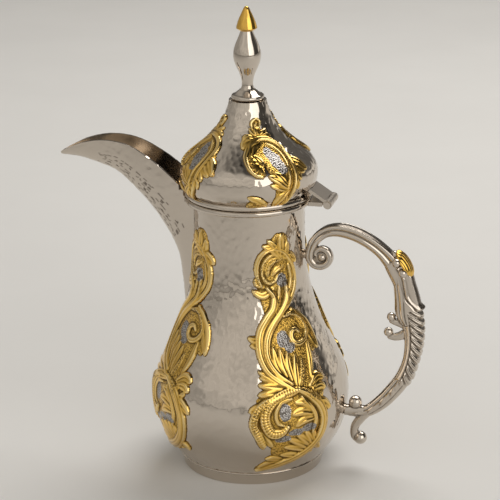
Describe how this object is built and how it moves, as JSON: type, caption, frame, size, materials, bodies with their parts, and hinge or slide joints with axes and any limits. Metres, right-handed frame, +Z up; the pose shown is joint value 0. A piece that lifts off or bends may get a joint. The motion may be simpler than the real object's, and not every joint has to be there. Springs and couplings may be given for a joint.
{
  "type": "dallah coffee pot",
  "caption": "Hammered silver dallah coffee pot with gilt scroll ornaments, an open beak spout, a cast leaf handle and a hinged onion lid with a tall finial.",
  "frame": {"origin": "centre of the foot's underside", "axes": "+Z up along the vessel's axis, spout towards -X, handle towards +X"},
  "size_m": [0.2484, 0.1316, 0.3129],
  "materials": {
    "hammered_silver": "polished over small hammer facets",
    "polished_silver": "mirror polish",
    "cast_silver": "polished casting, darker in the hollows",
    "gilt": "gold plate over a chased casting",
    "plain_steel": "satin"
  },
  "bodies": {
    "pot": {"body_shell": "hammered_silver", "spout": "hammered_silver", "foot_ring": "polished_silver", "mouth_rim": "polished_silver", "hinge_pot_leaf": "polished_silver", "hinge_pin": "polished_silver", "handle_arm": "cast_silver", "handle_grip": "cast_silver", "rosette_petals": "cast_silver", "rosette_boss": "gilt", "body_ornament_handle_near": "gilt", "body_ornament_handle_far": "gilt", "body_ornament_spout_near": "gilt", "body_ornament_spout_far": "gilt", "base_plate": "plain_steel", "strainer": "plain_steel", "handle_screw_upper": "plain_steel", "handle_screw_lower": "plain_steel"},
    "lid": {"lid_dome": "hammered_silver", "lid_rim": "polished_silver", "hinge_lid_leaf": "polished_silver", "finial_collar": "polished_silver", "finial_bulb": "polished_silver", "finial_tip": "gilt", "finial_stud": "plain_steel", "finial_washer": "plain_steel", "finial_nut": "plain_steel", "lid_ornament_handle_near": "gilt", "lid_ornament_handle_far": "gilt", "lid_ornament_spout_near": "gilt", "lid_ornament_spout_far": "gilt"}
  },
  "joints": [
    {"name": "lid_hinge", "type": "hinge", "parent": "pot", "child": "lid", "pos_m": [0.0549, 0, 0.18665], "axis": [0, 1, 0], "range_deg": [0, 105]}
  ]
}
